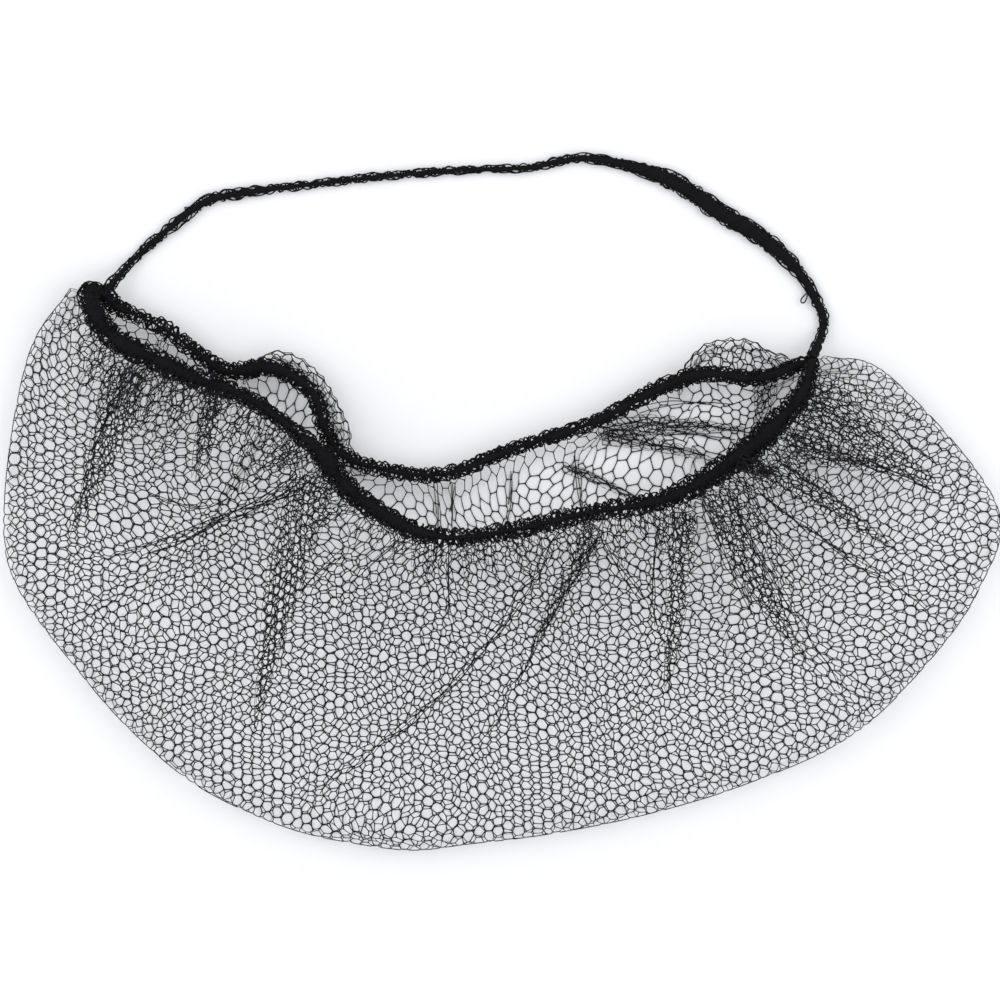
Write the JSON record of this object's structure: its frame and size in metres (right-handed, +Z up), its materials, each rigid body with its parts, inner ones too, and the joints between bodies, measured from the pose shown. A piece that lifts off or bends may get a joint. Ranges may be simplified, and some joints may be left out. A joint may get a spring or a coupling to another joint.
{
  "type": "beard net",
  "caption": "Black honeycomb net pouch gathered into a knitted elastic mouth band, with a thin elastic head strap, lying open on a table; worn over the beard to hold loose hair.",
  "frame": {"origin": "on the table, under the middle of the net's overall box", "axes": "+X to the right along the mouth, +Y from the pouch towards the head strap, +Z up from the table"},
  "size_m": [0.32, 0.2261, 0.0351],
  "materials": {
    "net": "black nylon honeycomb netting with a slight sheen",
    "knit": "matt black knitted elastic"
  },
  "bodies": {
    "root": {"net_pouch": "net", "mouth_band": "knit", "head_strap": "knit"}
  },
  "joints": []
}
